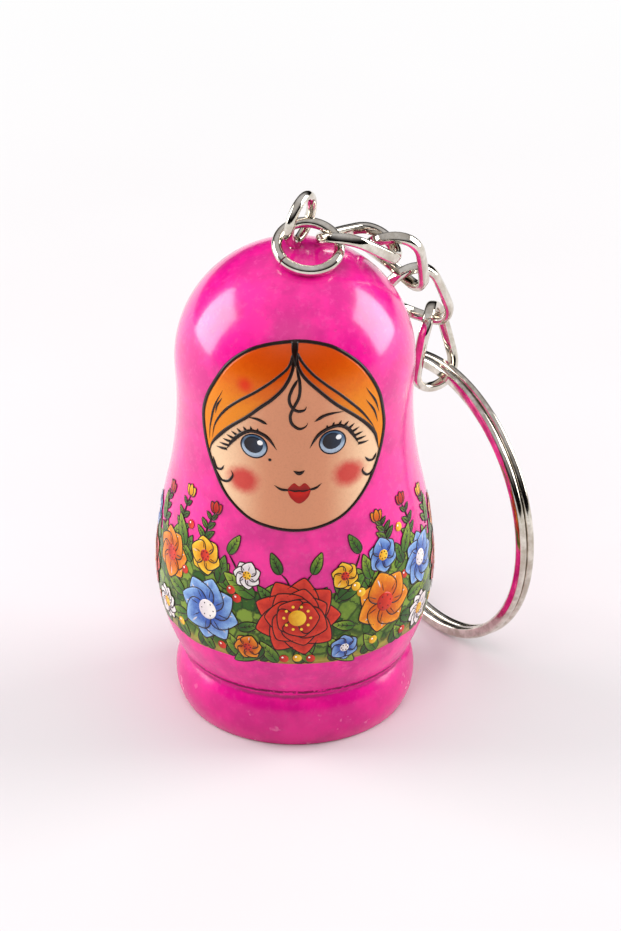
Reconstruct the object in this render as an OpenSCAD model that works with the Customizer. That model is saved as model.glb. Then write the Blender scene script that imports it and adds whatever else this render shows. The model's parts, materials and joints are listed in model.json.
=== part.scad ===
// Turned wooden doll on a key ring: a solid lacquered body with a printed face and a printed
// garland, a screw eye in its crown, a jump ring, four twisted chain links and a split ring.
// The doll stands on its foot at the origin, faces -Y, and the chain hangs down its right side.

/* [Doll] */
// Height of the wooden body, foot to crown
doll_height = 45; // [40:0.5:60]
// Diameter at the widest part of the belly
belly_d = 25; // [22:0.5:32]
// Height of the widest part of the belly
belly_z = 13.6; // [11:0.1:17]
// How far the head's side lies inside the belly's side
head_step = 1.85; // [1.2:0.05:3]
// How far the neck is drawn in below the head
neck_in = 0.15; // [0.05:0.05:0.4]
// Radius of the hollow where the neck meets the head
nape_r = 36; // [20:1:60]
// Height of the turned foot, up to its crease
foot_h = 5.2; // [4:0.1:7]
// How far the crease above the foot lies inside the belly's side
crease_in = 2.35; // [1.4:0.05:3.5]
// How far the foot bulges out beyond the crease
foot_bulge = 0.78; // [0.4:0.02:1.4]
// Rounding of the foot's lower edge
foot_edge_r = 0.4; // [0.2:0.05:0.8]

/* [Printed films] */
// Thickness of a printed film
film_t = 0.08; // [0.05:0.01:0.2]
// Thickness of the glue under a film
glue_t = 0.03; // [0.02:0.01:0.1]
// Width of the face, seen from the front
face_w = 15.6; // [12:0.1:18]
// Height of the face, seen from the front
face_h = 17.2; // [13:0.1:19]
// Height of the middle of the face above the foot
face_z = 31.7; // [28:0.1:33]
// Height of the garland's lower edge above the foot
garland_z = 9.6; // [7:0.1:12]
// Height of the garland film at its sides
garland_h = 13; // [9:0.1:15]
// Angle that the garland film covers round the body
garland_wrap = 210; // [150:5:300]
// Bare lacquer left between the face and the garland
film_gap = 0.35; // [0.2:0.05:1]

/* [Screw eye] */
// Outer diameter of the eye's loop
eye_d = 5.2; // [4.6:0.1:6.5]
// Wire diameter of the screw eye
eye_wire_d = 0.9; // [0.7:0.05:1.1]
// Length of the threaded shank in the wood
shank_h = 9; // [6:0.5:14]
// Outer diameter of the thread
thread_d = 1.5; // [1.3:0.05:2]
// Pitch of the thread
thread_pitch = 1; // [0.8:0.1:1.5]
// Lean of the screw eye to the right
eye_lean = 10; // [0:1:14]

/* [Jump ring] */
// Outer diameter of the jump ring
jump_d = 6.4; // [6:0.1:7.2]
// Wire diameter of the jump ring
jump_wire_d = 0.95; // [0.8:0.05:1]
// Width of the slit in the jump ring
jump_slit = 0.12; // [0.05:0.01:0.3]

/* [Chain] */
// Outer length of a chain link
link_l = 8.9; // [8:0.1:10]
// Outer width of a chain link
link_w = 5.6; // [5.2:0.1:6.4]
// Thickness of the link's flat wire, across the loop
link_wire_t = 0.8; // [0.6:0.05:0.9]
// Width of the link's flat wire, along the eye of the loop
link_wire_w = 1; // [0.8:0.05:1.1]
// Twist of a link from one end to the other
link_twist = 48; // [30:2:60]
// Play between the wires of two linked pieces
link_play = 0.3; // [0.2:0.05:0.4]

/* [Split ring] */
// Outer diameter of the split ring
ring_d = 28; // [24:0.5:32]
// Width of the ring's flat strip, inside to outside
strip_w = 1.1; // [0.8:0.05:1.6]
// Thickness of one turn of the strip
strip_t = 0.75; // [0.5:0.05:1]
// Gap between the two turns
turn_gap = 0.08; // [0.05:0.01:0.2]
// Slack between the last link and the standing ring
ring_play = 1; // [0.3:0.05:1.2]

/* [Hidden] */
$fn = 96;
// Long flat arcs take more sides, so that they stay true under the thin films
outline_sides = 480;

// One overrun serves every cut
overrun = 1;

// Body outline, from the driving sizes
belly_r = belly_d / 2;
head_r = belly_r - head_step;
neck_r = head_r - neck_in;
crease_r = belly_r - crease_in;
foot_r = crease_r + foot_bulge;
dome_z = doll_height - head_r;
neck_z = dome_z - sqrt(neck_in * (head_r + neck_r + 2 * nape_r));
// Belly and shoulder arcs run into each other; the share splits the sum of their radii
belly_arc_share = 0.505;
shoulder_sum = (pow(belly_r - neck_r, 2) + pow(neck_z - belly_z, 2)) / (2 * (belly_r - neck_r));
belly_arc_r = belly_arc_share * shoulder_sum;
shoulder_arc_r = shoulder_sum - belly_arc_r;
// The hollows are cut this much deeper, so that their arcs cross the round ones cleanly
arc_bite = 0.004;
shoulder_turn = asin((neck_z - belly_z) / shoulder_sum);
shoulder_z = belly_z + belly_arc_r * sin(shoulder_turn);
nape_turn = asin((dome_z - neck_z) / (head_r + nape_r));
nape_z = dome_z - head_r * sin(nape_turn);
hip_arc_r = (pow(crease_in, 2) + pow(belly_z - foot_h, 2)) / (2 * crease_in);
hip_turn = asin((belly_z - foot_h) / hip_arc_r);
foot_arc_r = (pow(foot_bulge, 2) + pow(foot_h / 2, 2)) / (2 * foot_bulge);
foot_arc_x = foot_r - foot_arc_r;
foot_edge_x = foot_arc_x + sqrt(pow(foot_arc_r - foot_edge_r, 2) - pow(foot_h / 2 - foot_edge_r, 2));
foot_edge_z = foot_edge_r * (1 - (foot_h / 2 - foot_edge_r) / (foot_arc_r - foot_edge_r));

// Steps up each arc of the outline under a film
film_steps = 12;

// Screw eye: a loop on a leaning shank
eye_turn = 64;
eye_slit_turn = 20;
eye_lift = 0.1;
eye_neck_flare = 0.05;
eye_neck_sunk = 0.3;
eye_neck_share = 0.7;
eye_r = (eye_d - eye_wire_d) / 2;
eye_axis = [sin(eye_lean), 0, cos(eye_lean)];
crown = [0, 0, doll_height];
eye_centre = crown + eye_axis * (eye_lift + eye_d / 2);
eye_across = flat_to(eye_axis, [cos(eye_turn), sin(eye_turn), 0]);
pilot_clear = 0.06;
pilot_d = eye_wire_d + 2 * pilot_clear;
pilot_tip = 0.5;
thread_root = 0.5;
thread_sunk = 0.12;
thread_steps = 12;
thread_start_share = 0.1;
shank_tip_share = 0.25;

// Jump ring: it passes through the eye and its far side rests on the crown
jump_heading = -79;
jump_roll = 0;
jump_across_share = 0.42;
jump_down_share = 0.34;
jump_seat = 0.2;
jump_slit_turn = -60;
jump_r = (jump_d - jump_wire_d) / 2;
eye_inner_r = eye_r - eye_wire_d / 2;
jump_start = eye_centre + eye_across * (jump_across_share * eye_inner_r)
           - eye_axis * (jump_down_share * eye_inner_r);
jump_dip = dip_onto(jump_start, jump_heading, 2 * jump_r, head_r + jump_wire_d / 2 + jump_seat);
jump_axes = link_axes(jump_heading, jump_dip, jump_roll);
jump_centre = jump_start + jump_axes[0] * jump_r;

// Chain: link 1 hangs on the jump ring, links 1 and 2 lie over the crown, link 3 leaves it and
// link 4 hangs down to the ring
hang_turn = 100;
link_headings = [42, 70, 54, 14];
link_rolls = [182, 188, -30, 49];
link_stand_offs = [2.4, 2.45];
last_dip = 86;
link_side = (link_l - link_w) / 2;
link_bow_r = (link_w - link_wire_t) / 2;
link_half = link_side + link_bow_r;
first_pitch = 2 * link_half - link_wire_t / 2 - jump_wire_d / 2 - link_play;
link_pitch = 2 * link_half - link_wire_t - link_play;
hook_1 = jump_centre + jump_r * (jump_axes[0] * cos(hang_turn) + jump_axes[1] * sin(hang_turn));
dip_1 = dip_onto(hook_1, link_headings[0], first_pitch, head_r + link_stand_offs[0]);
hook_2 = hook_1 + first_pitch * heading(link_headings[0], dip_1);
dip_2 = dip_onto(hook_2, link_headings[1], link_pitch, head_r + link_stand_offs[1]);
hook_3 = hook_2 + link_pitch * heading(link_headings[1], dip_2);
// Link 3 dips just far enough for the ring to stand on the floor, and keeps link 4 off the belly
hook_5_z = ring_d - strip_w - ring_play - link_wire_t / 2;
drop_3_share = (hook_3.z - hook_5_z) / link_pitch - sin(last_dip);
floor_dip = asin(max(-1, min(1, drop_3_share)));
belly_clear = 3.9;
hook_3_out = hook_3.x * cos(link_headings[2]) + hook_3.y * sin(link_headings[2]);
hook_3_off = hook_3.y * cos(link_headings[2]) - hook_3.x * sin(link_headings[2]);
reach_3 = sqrt(pow(belly_r + belly_clear, 2) - pow(hook_3_off, 2)) - hook_3_out;
belly_dip = acos(max(-1, min(1, reach_3 / link_pitch)));
dip_3 = min(floor_dip, belly_dip);
hook_4 = hook_3 + link_pitch * heading(link_headings[2], dip_3);
hook_5 = hook_4 + link_pitch * heading(link_headings[3], last_dip);
link_dips = [dip_1, dip_2, dip_3, last_dip];
link_ends = [hook_2, hook_3, hook_4, hook_5];

// Link wire: a rounded flat section swept round a twisted oval
bow_steps = 10;
side_steps = 4;
wire_sides = 10;
wire_power_share = 0.7;

// Split ring: one strip of two turns with a sloping crossing, standing upright
ring_turn = 35;
ring_lean_by = 0.3;
crossing_turn = 343;
crossing_span = 34;
crossing_steps = 8;
strip_end_gap = 1.5;
strip_edge_r = 0.18;
weld = 0.02;
weld_turn = 3;
ring_outer_r = ring_d / 2;
ring_inner_r = ring_outer_r - strip_w;
ring_normal = [cos(ring_turn), sin(ring_turn), 0];
ring_centre = hook_5 + [0, 0, link_wire_t / 2 + ring_play - ring_inner_r] + ring_normal * ring_lean_by;
turn_offset = (strip_t + turn_gap) / 2;

function unit(v) = v / norm(v);
// Part of v that lies square to the unit vector axis, made one long
function flat_to(axis, v) = unit(v - axis * (v * axis));
function heading(turn, dip) = [cos(dip) * cos(turn), cos(dip) * sin(turn), -sin(dip)];
// Axes of a link: along its length, across its loop, and out of its loop
function link_axes(turn, dip, roll) =
    let (along = heading(turn, dip),
         level = [-sin(turn), cos(turn), 0],
         across = level * cos(roll) + cross(along, level) * sin(roll))
    [along, across, cross(along, across)];
// Dip at which a chord from a point, along a heading, ends on a ball round the head's centre
function dip_onto(from, turn, chord, ball_r) =
    let (q = from - [0, 0, dome_z],
         out = q.x * cos(turn) + q.y * sin(turn),
         reach = (ball_r * ball_r - q * q - chord * chord) / (2 * chord))
    acos(reach / norm([out, q.z])) - atan2(q.z, out);

module place(axes, at)
    multmatrix([[axes[0].x, axes[1].x, axes[2].x, at.x],
                [axes[0].y, axes[1].y, axes[2].y, at.y],
                [axes[0].z, axes[1].z, axes[2].z, at.z]])
        children();

// Slice of a flat shape between two heights
module band(from, to) {
    intersection() {
        children();
        translate([0, from])
            square([belly_d, to - from]);
    }
}

module disc_at(x, z, r)
    translate([x, z])
        circle(r, $fn = outline_sides);

// Half outline of the body above the crease
module upper_outline() {
    band(foot_h, belly_z)
        disc_at(belly_r - hip_arc_r, belly_z, hip_arc_r);
    band(belly_z, neck_z)
        disc_at(belly_r - belly_arc_r, belly_z, belly_arc_r);
    difference() {
        band(shoulder_z, neck_z)
            square([belly_r, doll_height]);
        disc_at(neck_r + shoulder_arc_r, neck_z, shoulder_arc_r + arc_bite);
    }
    difference() {
        band(neck_z, nape_z)
            square([belly_r, doll_height]);
        disc_at(neck_r + nape_r, neck_z, nape_r + arc_bite);
    }
    band(neck_z, doll_height)
        disc_at(0, dome_z, head_r);
}

module foot_outline() {
    band(foot_edge_z, foot_h)
        disc_at(foot_arc_x, foot_h / 2, foot_arc_r);
    band(0, foot_h)
        disc_at(foot_edge_x, foot_edge_r, foot_edge_r);
    square([foot_edge_x, foot_h]);
}

module wood_body() {
    color("#ff1493")
        difference() {
            rotate_extrude() {
                upper_outline();
                foot_outline();
            }
            translate(crown)
                rotate([0, eye_lean, 0])
                    translate([0, 0, -shank_h - pilot_tip])
                        cylinder(h = shank_h + pilot_tip + overrun, d = pilot_d);
        }
}

function arc_points(x, z, r, from, to) =
    [for (i = [0 : film_steps - 1])
        let (turn = from + (to - from) * i / film_steps)
        [x + r * cos(turn), z + r * sin(turn)]];

// Points up the body's side from the crease to the crown, an even skin outside the wood
function skin_points(skin) = concat(
    arc_points(belly_r - hip_arc_r, belly_z, hip_arc_r + skin, -hip_turn, 0),
    arc_points(belly_r - belly_arc_r, belly_z, belly_arc_r + skin, 0, shoulder_turn),
    arc_points(neck_r + shoulder_arc_r, neck_z, shoulder_arc_r - skin, 180 + shoulder_turn, 180),
    arc_points(neck_r + nape_r, neck_z, nape_r - skin, 180, 180 - nape_turn),
    arc_points(0, dome_z, head_r + skin, -nape_turn, 90));

// Film lying on the front of the body between two heights, over an angle round it
module film_shell(from, to, wrap) {
    inner = skin_points(glue_t);
    outer = skin_points(glue_t + film_t);
    rotate([0, 0, -90 - wrap / 2])
        rotate_extrude(angle = wrap)
            band(from, to)
                polygon(concat(inner, [for (i = [len(outer) - 1 : -1 : 0]) outer[i]]));
}

// Upright oval of the face, run from the front into the body
module face_block(margin = 0) {
    oval_sides = 48;
    translate([0, 0, face_z])
        rotate([90, 0, 0])
            linear_extrude(belly_d)
                polygon([for (i = [0 : oval_sides - 1])
                    let (turn = 360 * i / oval_sides)
                    [(face_w / 2 + margin) * cos(turn), (face_h / 2 + margin) * sin(turn)]]);
}

module face_film() {
    face_wrap = 150;
    color("#f6b98f")
        intersection() {
            film_shell(face_z - face_h / 2 - overrun, face_z + face_h / 2 + overrun, face_wrap);
            face_block();
        }
}

module garland_film() {
    color("#3f8f4a")
        difference() {
            film_shell(garland_z, garland_z + garland_h, garland_wrap);
            face_block(film_gap);
        }
}

// Helical ridge of the thread, its root sunk in the wire and its ends running out
module thread_ridge(turns) {
    stations = thread_steps * turns;
    root_r = eye_wire_d / 2 - thread_sunk;
    points = [for (k = [0 : stations])
        let (run_out_share = max(thread_start_share, min(1, min(k, stations - k) / thread_steps)),
             crest_r = root_r + (thread_d / 2 - root_r) * run_out_share,
             rise = thread_pitch * k / thread_steps,
             turn = 360 * k / thread_steps)
        for (corner = [[root_r, rise - thread_root / 2], [crest_r, rise], [root_r, rise + thread_root / 2]])
            [corner.x * cos(turn), corner.x * sin(turn), corner.y]];
    last = 3 * stations;
    sides = [for (k = [0 : stations - 1], j = [0 : 2])
        let (a = 3 * k + j, b = 3 * k + (j + 1) % 3)
        each [[a, b, b + 3], [a, b + 3, a + 3]]];
    polyhedron(points, concat([[0, 2, 1]], [[last, last + 1, last + 2]], sides), convexity = 10);
}

module screw_eye() {
    tip_h = thread_pitch;
    neck_h = eye_neck_sunk + eye_lift + eye_wire_d * eye_neck_share;
    thread_turns = floor((shank_h - 2 * tip_h) / thread_pitch);
    color("silver")
        union() {
            place([eye_across, eye_axis, cross(eye_across, eye_axis)], eye_centre)
                rotate([0, 0, -90])
                    rotate_extrude(angle = 360 - eye_slit_turn)
                        translate([eye_r, 0])
                            circle(d = eye_wire_d);
            translate(crown)
                rotate([0, eye_lean, 0])
                    translate([0, 0, -shank_h]) {
                        translate([0, 0, tip_h])
                            cylinder(h = shank_h - tip_h, d = eye_wire_d);
                        translate([0, 0, shank_h - eye_neck_sunk])
                            cylinder(h = neck_h, d = eye_wire_d + 2 * eye_neck_flare);
                        cylinder(h = tip_h, d1 = shank_tip_share * eye_wire_d, d2 = eye_wire_d);
                        translate([0, 0, tip_h + thread_root])
                            thread_ridge(thread_turns);
                    }
        }
}

module jump_ring() {
    slit_angle = 360 * jump_slit / (2 * PI * jump_r);
    color("silver")
        place(jump_axes, jump_centre)
            rotate([0, 0, jump_slit_turn + slit_angle / 2])
                rotate_extrude(angle = 360 - slit_angle)
                    translate([jump_r, 0])
                        circle(d = jump_wire_d);
}

// Oval that the link's wire follows before it is twisted
link_oval = concat(
    [for (i = [0 : bow_steps - 1]) let (turn = 180 * i / bow_steps - 90)
        [link_side + link_bow_r * cos(turn), link_bow_r * sin(turn)]],
    [for (i = [0 : side_steps - 1]) [link_side - 2 * link_side * i / side_steps, link_bow_r]],
    [for (i = [0 : bow_steps - 1]) let (turn = 180 * i / bow_steps + 90)
        [link_bow_r * cos(turn) - link_side, link_bow_r * sin(turn)]],
    [for (i = [0 : side_steps - 1]) [2 * link_side * i / side_steps - link_side, -link_bow_r]]);

function link_angle(p) = link_twist / 2 * p.x / link_half;
function twisted(p) = [p.x, p.y * cos(link_angle(p)), p.y * sin(link_angle(p))];
function eased(c) = sign(c) * pow(abs(c), wire_power_share);

// Twisted oval link of flat wire, lying along X about the origin
module link_wire() {
    rings = len(link_oval);
    path = [for (p = link_oval) twisted(p)];
    points = [for (i = [0 : rings - 1])
        let (ahead = unit(path[(i + 1) % rings] - path[(i + rings - 1) % rings]),
             turn = link_angle(link_oval[i]),
             out = flat_to(ahead, [0, -sin(turn), cos(turn)]),
             side = cross(out, ahead))
        for (j = [0 : wire_sides - 1])
            path[i] + side * (link_wire_t / 2 * eased(cos(360 * j / wire_sides)))
                    + out * (link_wire_w / 2 * eased(sin(360 * j / wire_sides)))];
    faces = [for (i = [0 : rings - 1], j = [0 : wire_sides - 1])
        let (next_i = (i + 1) % rings,
             next_j = (j + 1) % wire_sides,
             a = i * wire_sides + j,
             b = next_i * wire_sides + j,
             c = next_i * wire_sides + next_j,
             d = i * wire_sides + next_j)
        each [[a, b, c], [a, c, d]]];
    polyhedron(points, faces, convexity = 4);
}

module chain_link(i) {
    axes = link_axes(link_headings[i], link_dips[i], link_rolls[i]);
    color("silver")
        place(axes, link_ends[i] - axes[0] * link_half)
            link_wire();
}

module chain_link_1() { chain_link(0); }
module chain_link_2() { chain_link(1); }
module chain_link_3() { chain_link(2); }
module chain_link_4() { chain_link(3); }

// Section of the strip, its corners rounded, at its place on the ring
module strip_section() {
    flat_w = strip_w - 2 * strip_edge_r;
    flat_t = strip_t - 2 * strip_edge_r;
    translate([ring_inner_r, -strip_t / 2]) {
        translate([strip_edge_r, 0])
            square([flat_w, strip_t]);
        translate([0, strip_edge_r])
            square([strip_w, flat_t]);
        for (x = [strip_edge_r, strip_w - strip_edge_r], y = [strip_edge_r, strip_t - strip_edge_r])
            translate([x, y])
                circle(strip_edge_r);
    }
}

// Height of the strip's middle at a share of the way across the crossing
function crossing_rise(share) = -turn_offset * cos(180 * max(0, min(1, share)));

// Sloping stretch of strip that joins the lower turn to the upper one
module strip_crossing() {
    span = crossing_span + 2 * weld_turn;
    rows = [for (k = [0 : crossing_steps]) k / crossing_steps];
    half_t = strip_t / 2 - weld;
    points = [for (share = rows)
        let (turn = span * share - weld_turn,
             rise = crossing_rise(turn / crossing_span))
        for (corner = [[ring_inner_r + weld, -half_t], [ring_outer_r - weld, -half_t],
                       [ring_outer_r - weld, half_t], [ring_inner_r + weld, half_t]])
            [corner.x * cos(turn), corner.x * sin(turn), corner.y + rise]];
    last = 4 * crossing_steps;
    sides = [for (k = [0 : crossing_steps - 1], j = [0 : 3])
        let (a = 4 * k + j, b = 4 * k + (j + 1) % 4)
        each [[a, b, b + 4], [a, b + 4, a + 4]]];
    polyhedron(points, concat([[0, 2, 1], [0, 3, 2]],
                              [[last, last + 1, last + 2], [last, last + 2, last + 3]], sides));
}

module split_ring() {
    end_turn = 360 * strip_end_gap / (2 * PI * ring_outer_r);
    turn_span = 360 - crossing_span - end_turn;
    color("silver")
        place([cross([0, 0, 1], ring_normal), [0, 0, 1], -ring_normal], ring_centre)
            rotate([0, 0, crossing_turn]) {
                strip_crossing();
                translate([0, 0, -turn_offset])
                    rotate([0, 0, -turn_span])
                        rotate_extrude(angle = turn_span)
                            strip_section();
                translate([0, 0, turn_offset])
                    rotate([0, 0, crossing_span])
                        rotate_extrude(angle = turn_span)
                            strip_section();
            }
}

wood_body();
face_film();
garland_film();
screw_eye();
jump_ring();
chain_link_1();
chain_link_2();
chain_link_3();
chain_link_4();
split_ring();
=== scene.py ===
import json
from math import asin, atan2, copysign, cos, hypot, pi, radians, sin, sqrt

import bmesh
import bpy
import numpy as np
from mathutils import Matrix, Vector


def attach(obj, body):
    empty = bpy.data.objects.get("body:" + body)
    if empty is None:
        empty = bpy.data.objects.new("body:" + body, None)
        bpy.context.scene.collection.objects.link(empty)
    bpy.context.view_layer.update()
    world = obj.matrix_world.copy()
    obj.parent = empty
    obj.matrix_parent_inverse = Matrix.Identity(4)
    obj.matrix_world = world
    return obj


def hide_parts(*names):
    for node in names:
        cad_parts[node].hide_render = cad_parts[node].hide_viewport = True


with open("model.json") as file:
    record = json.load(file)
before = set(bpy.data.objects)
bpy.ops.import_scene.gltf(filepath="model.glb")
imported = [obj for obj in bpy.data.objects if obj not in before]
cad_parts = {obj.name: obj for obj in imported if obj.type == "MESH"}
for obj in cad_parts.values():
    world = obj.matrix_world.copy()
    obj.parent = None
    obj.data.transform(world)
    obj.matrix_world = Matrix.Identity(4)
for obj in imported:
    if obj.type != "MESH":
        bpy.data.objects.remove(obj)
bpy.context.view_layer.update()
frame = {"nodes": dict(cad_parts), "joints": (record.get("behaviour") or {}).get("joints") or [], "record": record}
mm = 0.001
joints = {joint["name"]: joint for joint in frame["joints"]}
print("frame loaded:", sorted(frame["nodes"]))


# shader helpers: a socket that does maths, and what makes nodes

class Val:
    def __init__(self, shader, socket):
        self.shader = shader
        self.socket = socket

    def output(self, key):  # another output of the same node
        return Val(self.shader, self.socket.node.outputs[key])

    def calc(self, operation, *others, swap=False):
        values = [self, *others]
        if swap:
            values.reverse()
        return self.shader.node("ShaderNodeMath", {"operation": operation}, dict(enumerate(values)))

    def __add__(self, other):
        return self.calc("ADD", other)

    __radd__ = __add__

    def __sub__(self, other):
        return self.calc("SUBTRACT", other)

    def __rsub__(self, other):
        return self.calc("SUBTRACT", other, swap=True)

    def __mul__(self, other):
        return self.calc("MULTIPLY", other)

    __rmul__ = __mul__

    def __pow__(self, other):
        return self.calc("POWER", other)

    def sway(self, amount):  # noise about its middle
        return (self - 0.5) * amount

    def step(self, low, high):  # 0 below low, 1 above high, smooth between
        return self.shader.node("ShaderNodeMapRange", {"interpolation_type": "SMOOTHSTEP"},
                                {"Value": self, "From Min": low, "From Max": high})


class Nodes:
    def __init__(self, tree):
        self.tree = tree

    def feed(self, socket, value):
        if isinstance(value, Val):
            self.tree.links.new(value.socket, socket)
        elif socket.type == "RGBA":
            socket.default_value = (*value, 1)
        else:
            socket.default_value = value

    def node(self, kind, settings=None, sockets=None, out=0):
        made = self.tree.nodes.new(kind)
        for key, value in (settings or {}).items():
            setattr(made, key, value)
        for key, value in (sockets or {}).items():
            self.feed(made.inputs[key], value)
        return Val(self, made.outputs[out])

    def place(self):  # object coordinates in millimetres
        spot = self.node("ShaderNodeTexCoord", out="Object")
        return self.node("ShaderNodeVectorMath", {"operation": "SCALE"}, {0: spot, "Scale": 1 / mm})

    def axes(self, spot):
        first = self.node("ShaderNodeSeparateXYZ", {}, {0: spot})
        return [first.output(axis) for axis in "XYZ"]

    def noise(self, spot, scale, detail, roughness):
        sockets = {"Vector": spot, "Scale": scale, "Detail": detail, "Roughness": roughness}
        return self.node("ShaderNodeTexNoise", {}, sockets)

    def mix(self, factor, first, second):
        return self.node("ShaderNodeMix", {"data_type": "RGBA"}, {0: factor, 6: first, 7: second}, out=2)

    def bump(self, height, strength, distance):
        return self.node("ShaderNodeBump", {},
                         {"Height": height, "Strength": strength, "Distance": distance})


class Finish(Nodes):
    def __init__(self, name):
        self.material = bpy.data.materials.new(name)
        self.material.use_nodes = True
        super().__init__(self.material.node_tree)
        self.tree.nodes.clear()
        self.surface = self.tree.nodes.new("ShaderNodeBsdfPrincipled")
        self.output = self.tree.nodes.new("ShaderNodeOutputMaterial")
        self.plain = Val(self, self.surface.outputs[0])
        self.show(self.plain)

    def show(self, shader):
        self.feed(self.output.inputs["Surface"], shader)

    def set(self, **values):
        for key, value in values.items():
            self.feed(self.surface.inputs[key.replace("_", " ")], value)
        return self


def rgb(code):  # sRGB hex to linear
    parts = [int(code[i:i + 2], 16) / 255 for i in (0, 2, 4)]
    return tuple(c / 12.92 if c <= 0.04045 else ((c + 0.055) / 1.055) ** 2.4 for c in parts)


# the turned body: the outline's arcs, in millimetres

doll = dict(
    height=45, bellyD=25, bellyZ=13.6, headStep=1.85, neckIn=0.15, napeR=36, footH=5.2,
    creaseIn=2.35, footBulge=0.78, footEdge=0.4, arcShare=0.505, turns=192,
    steps=dict(edge=6, foot=24, hip=28, belly=24, hollow=20, nape=8, dome=56))


def bodyArcs():
    d, steps = doll, doll["steps"]
    bellyR = d["bellyD"] / 2
    headR = bellyR - d["headStep"]
    neckR = headR - d["neckIn"]
    domeZ = d["height"] - headR
    neckZ = domeZ - sqrt(d["neckIn"] * (headR + neckR + 2 * d["napeR"]))
    total = ((bellyR - neckR) ** 2 + (neckZ - d["bellyZ"]) ** 2) / (2 * (bellyR - neckR))
    bellyArc = d["arcShare"] * total
    hollowArc = total - bellyArc
    lift = asin((neckZ - d["bellyZ"]) / total)
    nape = asin((domeZ - neckZ) / (headR + d["napeR"]))
    hipArc = (d["creaseIn"] ** 2 + (d["bellyZ"] - d["footH"]) ** 2) / (2 * d["creaseIn"])
    hip = asin((d["bellyZ"] - d["footH"]) / hipArc)
    footR = bellyR - d["creaseIn"] + d["footBulge"]
    footArc = (d["footBulge"] ** 2 + (d["footH"] / 2) ** 2) / (2 * d["footBulge"])
    footX = footR - footArc
    edge = d["footEdge"]
    sideLightX = footX + sqrt((footArc - edge) ** 2 - (d["footH"] / 2 - edge) ** 2)
    edgeTurn = atan2(d["footH"] / 2 - edge, sideLightX - footX)
    foot = asin(d["footH"] / 2 / footArc)
    return [  # centre x, centre z, radius, from angle, to angle, steps
        (sideLightX, edge, edge, -pi / 2, -edgeTurn, steps["edge"]),
        (footX, d["footH"] / 2, footArc, -edgeTurn, foot, steps["foot"]),
        (bellyR - hipArc, d["bellyZ"], hipArc, -hip, 0, steps["hip"]),
        (bellyR - bellyArc, d["bellyZ"], bellyArc, 0, lift, steps["belly"]),
        (neckR + hollowArc, neckZ, hollowArc, pi + lift, pi, steps["hollow"]),
        (neckR + d["napeR"], neckZ, d["napeR"], pi, pi - nape, steps["nape"]),
        (0, domeZ, headR, -nape, pi / 2, steps["dome"])]


def bodyOutline():
    points = []
    for x, z, r, start, stop, steps in bodyArcs():
        for i in range(steps):
            turn = start + (stop - start) * i / steps
            points.append((x + r * cos(turn), z + r * sin(turn)))
    return points


outline = np.array(bodyOutline())
aboveFoot = outline[outline[:, 1] >= doll["footH"] - 0.01]


def bodyRadius(z):
    return float(np.interp(z, aboveFoot[:, 1], aboveFoot[:, 0]))


def bodySlope(z, step=0.05):
    return (bodyRadius(z + step) - bodyRadius(z - step)) / (2 * step)


def liftOff(x, y, z, skin):  # a point on the wood, raised along the surface's normal
    reach = hypot(x, y)
    slope = bodySlope(z)
    tilt = sqrt(1 + slope * slope)
    raised = (x + skin * x / reach / tilt, y + skin * y / reach / tilt, z - skin * slope / tilt)
    return Vector(raised) * mm


def onFace(p, skin):  # face drawings are laid out as seen from the front: x to the right, z up
    x, z = p
    reach = bodyRadius(z)
    return liftOff(x, -sqrt(max(reach * reach - x * x, 0.01)), z, skin)


def onBelly(p, skin):  # garland drawings: millimetres round the belly from the front, and height
    u, z = p
    turn = u / (doll["bellyD"] / 2)
    reach = bodyRadius(z)
    return liftOff(reach * sin(turn), -reach * cos(turn), z, skin)


def newMesh(name, verts, faces):
    mesh = bpy.data.meshes.new(name)
    mesh.from_pydata(verts, [], faces)
    return mesh


def faceOutward(mesh, weld=0):  # joins corners closer than weld, and turns every face out
    work = bmesh.new()
    work.from_mesh(mesh)
    if weld:
        bmesh.ops.remove_doubles(work, verts=work.verts, dist=weld)
    bmesh.ops.recalc_face_normals(work, faces=work.faces)
    work.to_mesh(mesh)
    work.free()


def dress(mesh, finish):
    mesh.materials.clear()
    mesh.materials.append(finish.material)
    mesh.polygons.foreach_set("use_smooth", [True] * len(mesh.polygons))


def addToScene(name, data):
    made = bpy.data.objects.new(name, data)
    bpy.context.scene.collection.objects.link(made)
    return made


def addPiece(mesh, finish, body):  # named as its mesh
    dress(mesh, finish)
    made = addToScene(mesh.name, mesh)
    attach(made, body)
    return made


def turnedBody(finish):
    rows, turns = bodyOutline(), doll["turns"]
    verts = [(0, 0, 0)]
    for r, z in rows:
        for k in range(turns):
            a = 2 * pi * k / turns
            verts.append((r * sin(a) * mm, -r * cos(a) * mm, z * mm))
    verts.append((0, 0, doll["height"] * mm))
    last = len(verts) - 1
    after = [(k + 1) % turns for k in range(turns)]
    faces = [(0, 1 + after[k], 1 + k) for k in range(turns)]
    for i in range(len(rows) - 1):
        low, high = 1 + i * turns, 1 + (i + 1) * turns
        faces += [(low + k, low + after[k], high + after[k], high + k) for k in range(turns)]
    top = 1 + (len(rows) - 1) * turns
    faces += [(top + k, top + after[k], last) for k in range(turns)]
    return addPiece(newMesh("turned_body", verts, faces), finish, "doll")


# printed inks: thin closed patches that follow the wood

printing = dict(
    thick=0.02, filmThick=0.07, step=0.12, fewest=6, overlap=5, bluntEnd=0.02, across=9, weld=1e-7)


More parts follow.
